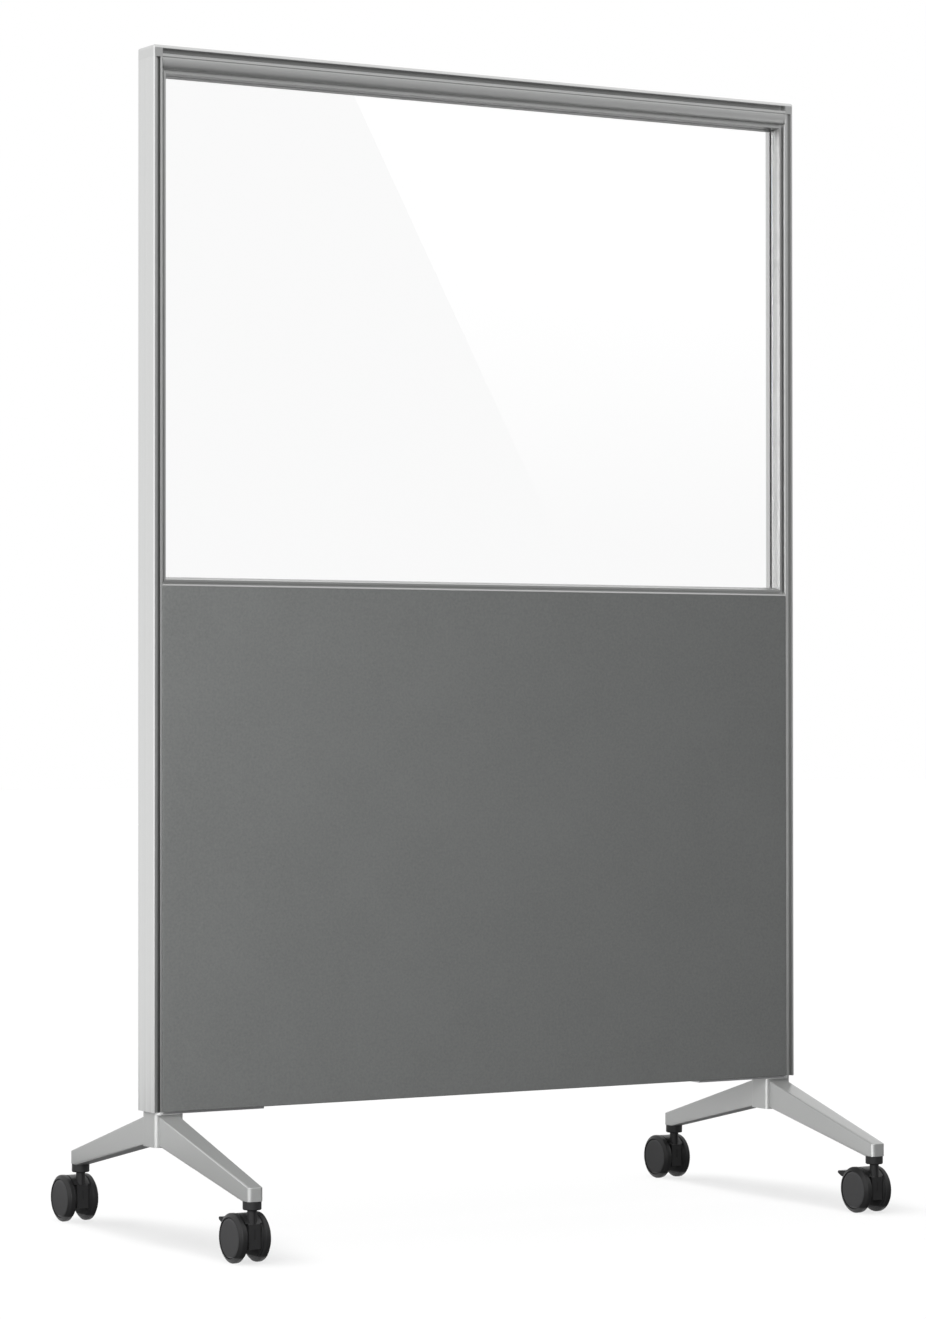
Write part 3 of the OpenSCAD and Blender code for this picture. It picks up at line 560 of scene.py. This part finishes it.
class PARTITION_OT_extrusions(bpy.types.Operator):
    """Finish the posts, jambs, rails, cap and glazing bars in satin anodised aluminium,
    with painted shade in their grooves
    """
    bl_idname = "partition.extrusions"
    bl_label = "Extrusions"

    def execute(self, context):
        tone = settings().finish.aluminium
        upright = grained("anodised upright", tone, UPRIGHT_GRAIN, **ANODISED)
        level = grained("anodised level", tone, LEVEL_GRAIN, **ANODISED)
        rail = grained("anodised top rail", toned(tone, RAIL_TONE), LEVEL_GRAIN, **ANODISED)
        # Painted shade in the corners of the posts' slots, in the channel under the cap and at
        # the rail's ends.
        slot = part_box("right_jamb")[1][0] - JAMB_OVERLAP
        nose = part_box("right_post")[1][0] - POST_NOSE
        shade_groove(upright, "X", slot, slot + SLOT_CORNER, JAMB_SIDE_PAINTED_SHADE)
        shade_groove(upright, "X", nose - SLOT_CORNER, nose, NOSE_SIDE_PAINTED_SHADE)
        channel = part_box("top_cap")[0][2] - CHANNEL_HEIGHT
        shade_groove(rail, "Z", channel, ABOVE_PART, CHANNEL_PAINTED_SHADE)
        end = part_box("top_rail")[1][0]
        shade_groove(rail, "X", end - RAIL_END_WIDTH, end, RAIL_END_PAINTED_SHADE)
        dress(nodes_named(UPRIGHTS), upright)
        dress(nodes_named(LEVELS), level)
        dress(nodes_named(["top_rail"]), rail)
        for name in UPRIGHT_BARS:
            bar = grained("anodised bar", toned(tone, BAR_TONE), UPRIGHT_GRAIN, **ANODISED)
            # Painted shade on the step in the front reveal of the upright bar.
            shade_groove(bar, "Y", *REVEAL_STEP, REVEAL_STEP_PAINTED_SHADE)
            dress(nodes_named([name]), bar)
        for name in LEVEL_BARS:
            bar = grained("anodised bar", toned(tone, BAR_TONE), LEVEL_GRAIN, **ANODISED)
            if name == "glazing_top":
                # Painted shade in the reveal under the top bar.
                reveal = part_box(name)[0][2]
                shade_groove(bar, "Z", reveal, reveal + TOP_REVEAL_HEIGHT, TOP_REVEAL_PAINTED_SHADE)
            dress(nodes_named([name]), bar)
        return {'FINISHED'}


class PARTITION_OT_castings(bpy.types.Operator):
    """Finish the feet and the corner blocks in silver, with the grain of a casting"""
    bl_idname = "partition.castings"
    bl_label = "Castings"

    def execute(self, context):
        finish = settings().finish
        silver = grained("silver casting", finish.casting, EVEN_GRAIN, **LACQUERED)
        fill(silver.node_tree.nodes["Principled BSDF"], CLEAR_COAT)
        block = grained("cast block", toned(finish.aluminium, BLOCK_TONE), EVEN_GRAIN, **CAST)
        dress(nodes_named(FEET), silver)
        dress(nodes_named(BLOCKS), block)
        return {'FINISHED'}


class PARTITION_OT_steelwork(bpy.types.Operator):
    """Finish the screws, plates, stems and axles in plated steel"""
    bl_idname = "partition.steelwork"
    bl_label = "Steelwork"

    def execute(self, context):
        steel = grained("plated steel", settings().finish.steel, EVEN_GRAIN, **PLATED)
        shafts = [f"{caster}_caster_{part}" for caster in CASTERS for part in ("stem", "axle")]
        dress(nodes_named(STEELWORK + shafts), steel)
        return {'FINISHED'}


class PARTITION_OT_glazing(bpy.types.Operator):
    """Finish the pane in clear glass and its gaskets in grey rubber"""
    bl_idname = "partition.glazing"
    bl_label = "Glazing"

    def execute(self, context):
        rubber = grained("gasket rubber", settings().finish.rubber, EVEN_GRAIN, **RUBBER)
        dress(nodes_named(["glass_pane"]), glass_material())
        dress(nodes_named(["front_gasket", "rear_gasket"]), rubber)
        return {'FINISHED'}


class PARTITION_OT_casters(bpy.types.Operator):
    """Finish the caster bodies, wheels, caps, levers and collars in moulded nylon"""
    bl_idname = "partition.casters"
    bl_label = "Casters"

    def execute(self, context):
        tone = settings().finish.nylon
        body = grained("nylon body", tone, EVEN_GRAIN, **NYLON)
        tread = grained("nylon wheel", toned(tone, WHEEL_TONE), EVEN_GRAIN, **NYLON_WHEEL)
        cap = grained("nylon hub cap", toned(tone, CAP_TONE), EVEN_GRAIN, **NYLON_CAP)
        bodies = ["caster_sockets"] + [f"{caster}_caster_body" for caster in CASTERS]
        bodies += [f"front_{side}_brake_lever" for side in ("left", "right")]
        wheels = [f"{caster}_{side}_wheel" for caster in CASTERS for side in ("outer", "inner")]
        caps = [f"{caster}_{side}_hub_cap" for caster in CASTERS for side in ("outer", "inner")]
        dress(nodes_named(bodies), body)
        dress(nodes_named(wheels), tread)
        dress(nodes_named(caps), cap)
        return {'FINISHED'}


# ---------------------------------------------------------------- covers

def outline():
    """Once round the rectangle from -1 to 1 both ways: the places along it and across it."""
    level = np.linspace(-1, 1, LEVEL_FACES + 1)
    upright = np.linspace(-1, 1, UPRIGHT_FACES + 1)
    along = np.concatenate([level[:-1], np.ones(UPRIGHT_FACES),
                            level[:0:-1], -np.ones(UPRIGHT_FACES)])
    across = np.concatenate([-np.ones(LEVEL_FACES), upright[:-1],
                             np.ones(LEVEL_FACES), upright[:0:-1]])
    return along, across


def board_grid(half, radius, crown):
    """Points of a fabric-wrapped board about its middle, with its front to +Y, as a grid.

    The first parameter runs round the wrapped section, from the edge of the back round the two
    radii of the edge and in to the middle of the front. The second runs once round the board's
    outline. The outline is the rectangle's ray from its middle, drawn in by the section's
    inset. The front rises by crown * (1 - r^4) with r the distance to the middle as a share of
    the way to the edge.
    """
    along, across = outline()
    bend = np.linspace(0, math.pi / 2, EDGE_STEPS)
    inset = np.concatenate([radius * (1 - np.sin(bend)), radius * (1 - np.cos(bend))])
    depth = np.concatenate([-half[1] + radius * (1 - np.cos(bend)),
                            half[1] - radius * (1 - np.sin(bend))])
    wide = along * (half[0] - inset[:, None])
    tall = across * (half[2] - inset[:, None])
    edge = np.stack([wide, np.broadcast_to(depth[:, None], wide.shape), tall], axis=2)
    rings = np.linspace(0, 1, FRONT_RINGS + 2)[1:-1, None]
    front = np.stack([along * (half[0] - radius) * (1 - rings),
                      half[1] + crown * (1 - (1 - rings) ** 4) * np.ones_like(along),
                      across * (half[2] - radius) * (1 - rings)], axis=2)
    return np.concatenate([edge, front])


def closed_faces(rows, count):
    """Faces of a grid of closed rows, each of count points, with a fan at each end.

    The tip of the last row's fan follows the points of the grid, and that of the first row's
    fan comes after it.
    """
    row = np.arange(rows - 1)[:, None] * count
    here = np.arange(count)
    after = (here + 1) % count
    quads = np.stack([row + here, row + after, row + count + after, row + count + here], axis=2)
    front_tip = rows * count
    last = front_tip - count
    front_fan = np.stack([last + here, last + after, np.full(count, front_tip)], axis=1)
    back_fan = np.stack([after, here, np.full(count, front_tip + 1)], axis=1)
    return quads.reshape(-1, 4).tolist() + front_fan.tolist() + back_fan.tolist()


def wrapped_board(name, low, high, face, radius, crown):
    """A fabric-wrapped board between low and high as one closed surface.

    Its front looks to -Y where face is -1, and to +Y where face is 1. Its UV map holds X and Z
    in metres.
    """
    middle = (np.array(low) + np.array(high)) / 2
    half = (np.array(high) - np.array(low)) / 2
    grid = board_grid(half, radius, crown)
    tips = [[0, half[1] + crown, 0], [0, -half[1], 0]]
    points = np.concatenate([grid.reshape(-1, 3), tips])
    points[:, 1] *= face
    points += middle
    mesh = bpy.data.meshes.new(name)
    mesh.from_pydata(points.tolist(), [], closed_faces(*grid.shape[:2]))
    mesh.update()
    if face < 0:
        mesh.flip_normals()
    mesh.shade_smooth()
    places = np.empty(len(mesh.loops), dtype=np.int32)
    mesh.loops.foreach_get("vertex_index", places)
    cloth = mesh.uv_layers.new(name="cloth")
    cloth.data.foreach_set("uv", points[places][:, [0, 2]].astype(np.float32).ravel())
    piece = bpy.data.objects.new(name, mesh)
    bpy.context.collection.objects.link(piece)
    return piece


class PARTITION_OT_covers(bpy.types.Operator):
    """Wrap both tiles of the lower panel in fabric, and finish the board between them"""
    bl_idname = "partition.covers"
    bl_label = "Fabric covers"

    def execute(self, context):
        cover = settings().cover
        cloth = fabric_material()
        for end, face in (("front", -1), ("rear", 1)):
            tile = f"{end}_fabric_tile"
            low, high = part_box(tile)
            piece = wrapped_board(f"{end}_fabric_cover", low, high, face,
                                  cover.edge_radius, cover.crown)
            dress([piece], cloth)
            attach(piece, "screen")
            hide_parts(tile)
        board = grained("fibreboard", settings().finish.board, EVEN_GRAIN, **FIBREBOARD)
        dress(nodes_named(["core_board"]), board)
        return {'FINISHED'}


# ---------------------------------------------------------------- studio

def camera_matrix(place, yaw, pitch, roll):
    """Camera turned from looking along +Y: yaw towards +X, pitch up, roll about the view."""
    ahead = Vector((math.sin(yaw) * math.cos(pitch), math.cos(yaw) * math.cos(pitch),
                    math.sin(pitch)))
    turn = ahead.to_track_quat('-Z', 'Y').to_matrix() @ Matrix.Rotation(roll, 3, 'Z')
    return Matrix.Translation(place) @ turn.to_4x4()


def flat_sheet(name, corners):
    """A four-cornered sheet that belongs to the stage, not to the part."""
    mesh = bpy.data.meshes.new(name)
    mesh.from_pydata(corners, [], [(0, 1, 2, 3)])
    sheet = bpy.data.objects.new(name, mesh)
    bpy.context.collection.objects.link(sheet)
    sheet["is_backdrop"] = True
    return sheet


def split_by_ray(tree, output, lighting, shown):
    """Feeds output with the shader shown where it is seen, and with lighting elsewhere.

    Seen means by the camera, in a reflection or through glass.
    """
    path = add(tree, 'ShaderNodeLightPath')
    direct = add(tree, 'ShaderNodeMath', operation='MAXIMUM')
    seen = add(tree, 'ShaderNodeMath', operation='MAXIMUM')
    pick = add(tree, 'ShaderNodeMixShader')
    join(tree,
         (path.outputs["Is Camera Ray"], direct.inputs[0]),
         (path.outputs["Is Glossy Ray"], direct.inputs[1]),
         (direct.outputs[0], seen.inputs[0]),
         (path.outputs["Is Transmission Ray"], seen.inputs[1]),
         (seen.outputs[0], pick.inputs[0]), (lighting.outputs[0], pick.inputs[1]),
         (shown.outputs[0], pick.inputs[2]), (pick.outputs[0], output.inputs["Surface"]))


def floor_material():
    """White where it is seen, with only the object's soft shadow drawn on it.

    Light that bounces off the floor to the object comes from a plain grey.
    """
    material = bpy.data.materials.new("studio floor")
    tree = empty_tree(material)
    output = add(tree, 'ShaderNodeOutputMaterial')
    lit = add(tree, 'ShaderNodeBsdfDiffuse', {"Color": grey(FLOOR_GREY)})
    glow = add(tree, 'ShaderNodeEmission', {"Color": grey(1), "Strength": FLOOR_GLOW})
    both = add(tree, 'ShaderNodeAddShader')
    bounce = add(tree, 'ShaderNodeBsdfDiffuse', {"Color": grey(BOUNCE_GREY)})
    join(tree, (lit.outputs[0], both.inputs[0]), (glow.outputs[0], both.inputs[1]))
    split_by_ray(tree, output, bounce, both)
    return material


def studio_world(ambient):
    """White where it is seen, and an even soft light elsewhere."""
    world = bpy.data.worlds.new("studio")
    tree = empty_tree(world)
    output = add(tree, 'ShaderNodeOutputWorld')
    white = add(tree, 'ShaderNodeBackground', {"Color": grey(1), "Strength": 1.0})
    soft = add(tree, 'ShaderNodeBackground', {"Color": grey(1), "Strength": ambient})
    split_by_ray(tree, output, soft, white)
    bpy.context.scene.world = world


def area_lamp(name, place, target, size, power):
    """A square soft lamp that looks at target."""
    lamp = bpy.data.lights.new(name, 'AREA')
    lamp.energy = power
    lamp.size = size
    lit = bpy.data.objects.new(name, lamp)
    turn = (Vector(target) - Vector(place)).to_track_quat('-Z', 'Y')
    lit.matrix_world = Matrix.Translation(place) @ turn.to_matrix().to_4x4()
    bpy.context.collection.objects.link(lit)
    return lit


def soft_sun(name, source, spread, strength):
    """A light without end that comes from the direction of source."""
    lamp = bpy.data.lights.new(name, 'SUN')
    lamp.energy = strength
    lamp.angle = spread
    lit = bpy.data.objects.new(name, lamp)
    lit.matrix_world = (-Vector(source)).to_track_quat('-Z', 'Y').to_matrix().to_4x4()
    bpy.context.collection.objects.link(lit)
    return lit


def linked(name, objects):
    """A collection that light linking can name, with these objects in it."""
    group = bpy.data.collections.new(name)
    for piece in objects:
        group.objects.link(piece)
    return group


def wall(start, end, low, high):
    """Corners of an upright sheet over the line from start to end."""
    return [(*start, low), (*end, low), (*end, high), (*start, high)]


def shelf(near, far, height):
    """Corners of a level sheet between two opposite corners."""
    return [(near[0], near[1], height), (far[0], near[1], height),
            (far[0], far[1], height), (near[0], far[1], height)]


def card(name, corners, heights, glow, receivers):
    """A card that only reflections see, as a studio hangs to shape metal and glass.

    Its glow runs from the first to the second value of glow between the two heights. A card
    with receivers shows on them alone, and lets what is behind it show through.
    """
    sheet = flat_sheet(name, corners)
    material = bpy.data.materials.new(name)
    tree = empty_tree(material)
    output = add(tree, 'ShaderNodeOutputMaterial')
    place = add(tree, 'ShaderNodeTexCoord')
    split = add(tree, 'ShaderNodeSeparateXYZ')
    ramp = add(tree, 'ShaderNodeMapRange', {
        "From Min": heights[0], "From Max": heights[1], "To Min": glow[0], "To Max": glow[1]})
    light = add(tree, 'ShaderNodeEmission', {"Color": grey(1)})
    join(tree,
         (place.outputs["Object"], split.inputs["Vector"]),
         (split.outputs["Z"], ramp.inputs["Value"]),
         (ramp.outputs["Result"], light.inputs["Strength"]))
    if receivers:
        clear = add(tree, 'ShaderNodeBsdfTransparent')
        both = add(tree, 'ShaderNodeAddShader')
        join(tree, (clear.outputs[0], both.inputs[0]), (light.outputs[0], both.inputs[1]),
             (both.outputs[0], output.inputs["Surface"]))
        sheet.light_linking.receiver_collection = receivers
    else:
        join(tree, (light.outputs[0], output.inputs["Surface"]))
    sheet.data.materials.append(material)
    sheet.visible_camera = False
    sheet.visible_diffuse = False
    sheet.visible_shadow = False
    sheet.visible_transmission = False


def set_lamps(studio, floor, feet):
    """The key and the fills light the object, and the light above lights the floor.

    Only the feet cast the shadow that the light above draws.
    """
    key = area_lamp("key", KEY_PLACE, KEY_TARGET, KEY_SIZE, studio.key_power)
    key.visible_camera = False
    key.visible_glossy = False
    overhead = soft_sun("overhead", OVERHEAD_FROM, studio.overhead_spread,
                        studio.overhead_strength)
    foot_light = soft_sun("foot light", FOOT_LIGHT_FROM, studio.overhead_spread,
                          studio.foot_strength)
    rear_fill = soft_sun("rear fill", REAR_FILL_FROM, studio.overhead_spread,
                         studio.rear_strength)
    rear_fill.visible_glossy = False
    rear_fill.visible_transmission = False
    pieces = linked("part", [piece for piece in bpy.data.objects
                             if piece.type == 'MESH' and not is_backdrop(piece)])
    key.light_linking.receiver_collection = pieces
    rear_fill.light_linking.receiver_collection = pieces
    overhead.light_linking.receiver_collection = linked("ground", [floor])
    overhead.light_linking.blocker_collection = feet
    foot_light.light_linking.receiver_collection = feet


def hang_cards(feet):
    """Hangs the cards: for each its corners, two heights, its glow at them, and what sees it."""
    right_foot = linked("right foot", nodes_named(["right_foot"]))
    pane = linked("pane", nodes_named(["glass_pane"]))
    for name, corners, heights, glow, receivers in (
            ("front card", wall((NEAR_END, FRONT), (FAR_END, FRONT), CARD_FOOT, SPLIT),
             (0.0, SPLIT), (0.25, 0.45), None),
            ("upper card", wall((NEAR_END, FRONT), (FAR_END, FRONT), SPLIT, 6.5),
             PLAIN, (1.1, 1.1), None),
            ("near card", wall((LEFT, FRONT), (NEAR_END, FRONT), CARD_FOOT, 4.5),
             PLAIN, (1.35, 1.35), None),
            ("left card", wall((LEFT, 0.3), (LEFT, FRONT), CARD_FOOT, 4.5),
             PLAIN, (1.35, 1.35), None),
            ("foot card", wall((-2.2, 0.4), (-1.26, -1.26), 0.015, 2.2),
             PLAIN, (3.2, 3.2), feet),
            ("toe card", shelf((-0.6, -0.65), (0.3, 0.0), 0.012),
             PLAIN, (5.0, 5.0), right_foot),
            ("flank card", shelf((-0.2, 0.3), (0.5, 1.3), 0.012),
             PLAIN, (1.0, 1.0), feet),
            ("floor card", shelf((-1.5, FRONT), (3.0, 1.0), 0.01),
             PLAIN, (0.12, 0.12), None),
            ("glass card", [(2.99, SHINE, 1.3), (FAR_END, SHINE, 1.3), (FAR_END, SHINE, 4.5),
                            (1.225, SHINE, 4.5)],
             (1.3, 2.0), (0.0, 1.4), pane)):
        card(name, corners, heights, glow, receivers)


def set_camera(studio):
    """Places the camera as the settings say."""
    camera = bpy.data.cameras.new("camera")
    camera.sensor_fit = 'VERTICAL'
    camera.lens = camera.sensor_height * studio.focal_pixels / studio.image_height
    camera.clip_end = CLIP_END
    viewer = bpy.data.objects.new("camera", camera)
    viewer.matrix_world = camera_matrix(studio.camera_place, studio.camera_yaw,
                                        studio.camera_pitch, studio.camera_roll)
    bpy.context.collection.objects.link(viewer)
    bpy.context.scene.camera = viewer


class PARTITION_OT_studio(bpy.types.Operator):
    """Set up the white floor, the lamps, the cards and the camera"""
    bl_idname = "partition.studio"
    bl_label = "Studio"

    def execute(self, context):
        studio = settings().studio
        floor = flat_sheet("floor", shelf((-FLOOR_REACH, -FLOOR_REACH),
                                          (FLOOR_REACH, FLOOR_REACH), 0))
        floor.data.materials.append(floor_material())
        studio_world(studio.ambient)
        feet = linked("feet", nodes_named(FEET))
        set_lamps(studio, floor, feet)
        hang_cards(feet)
        set_camera(studio)
        context.scene.view_settings.view_transform = 'Standard'
        return {'FINISHED'}


# ---------------------------------------------------------------- panel and registration

OPERATORS = [PARTITION_OT_extrusions, PARTITION_OT_castings, PARTITION_OT_steelwork,
             PARTITION_OT_glazing, PARTITION_OT_casters, PARTITION_OT_covers, PARTITION_OT_studio]


class PARTITION_PT_panel(bpy.types.Panel):
    """Lists the partition's pieces and its settings"""
    bl_idname = "PARTITION_PT_panel"
    bl_label = "Rolling Partition"
    bl_space_type = 'VIEW_3D'
    bl_region_type = 'UI'
    bl_category = SIDEBAR_TAB

    def draw(self, context):
        for operator in OPERATORS:
            self.layout.operator(operator.bl_idname)
        for group in (settings().finish, settings().cover, settings().studio):
            box = self.layout.box()
            for name in group.bl_rna.properties.keys():
                if name not in ("rna_type", "name"):
                    box.prop(group, name)


CLASSES = [FinishSettings, CoverSettings, StudioSettings, PartitionSettings,
           *OPERATORS, PARTITION_PT_panel]


def register():
    for cls in CLASSES:
        bpy.utils.register_class(cls)
    bpy.types.Scene.partition = PointerProperty(type=PartitionSettings)


def unregister():
    del bpy.types.Scene.partition
    for cls in reversed(CLASSES):
        bpy.utils.unregister_class(cls)


def main():
    """Registers the classes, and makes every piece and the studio."""
    register()
    for operator in OPERATORS:
        group, name = operator.bl_idname.split(".")
        getattr(getattr(bpy.ops, group), name)()


if __name__ == "__main__":
    main()
